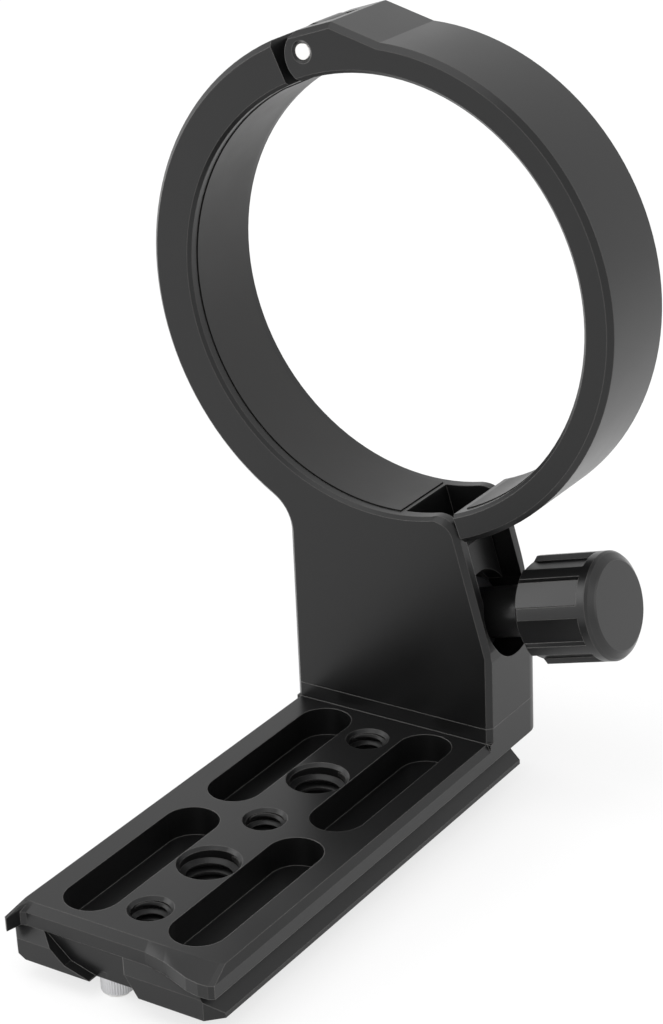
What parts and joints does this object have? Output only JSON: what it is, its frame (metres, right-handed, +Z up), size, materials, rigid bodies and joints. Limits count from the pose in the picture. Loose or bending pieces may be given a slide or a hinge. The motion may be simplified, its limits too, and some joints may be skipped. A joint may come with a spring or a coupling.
{
  "type": "lens tripod collar",
  "caption": "Hinged ring collar that clamps a long lens, closed by a fluted knob, on a pedestal with a long dovetail foot drilled for tripod screws",
  "frame": {"origin": "middle of the lens bore, on its axis, halfway through the ring", "axes": "+Y along the lens axis to the back, +Z up, away from the foot, +X to the knob side"},
  "size_m": [0.0876, 0.1002, 0.1336],
  "materials": {
    "black_anodised": "black anodised, fine satin",
    "black_knob": "black anodised, satin, turned",
    "liner": "black, smooth low-friction strip",
    "bright_steel": "bright steel",
    "dark_steel": "black oxide"
  },
  "bodies": {
    "base": {"collar_base": "black_anodised", "foot_plate": "black_anodised", "base_liner": "liner", "hinge_pin": "bright_steel", "foot_screws": "dark_steel", "stop_screw": "bright_steel"},
    "ring": {"upper_ring": "black_anodised", "ring_liner": "liner"},
    "washer": {"thrust_washer": "dark_steel"},
    "knob": {"clamp_knob": "black_knob", "clamp_stud": "bright_steel"}
  },
  "joints": [
    {"name": "ring_hinge", "type": "hinge", "parent": "base", "child": "ring", "pos_m": [-0.0127, 0, 0.0398], "axis": [0, -1, 0], "range_deg": [0, 100]},
    {"name": "clamp_screw_travel", "type": "slide", "parent": "ring", "child": "washer", "axis": [0.9636, 0, 0.2672], "range_m": [0, 0.0086]},
    {"name": "clamp_knob_turn", "type": "hinge", "parent": "washer", "child": "knob", "pos_m": [0.01832, 0, -0.05513], "axis": [0.9636, 0, 0.2672], "range_deg": [0, 3060]}
  ],
  "couplings": [
    {"joint": "clamp_screw_travel", "follows": "clamp_knob_turn", "m_per_rad": 0.00015915}
  ]
}
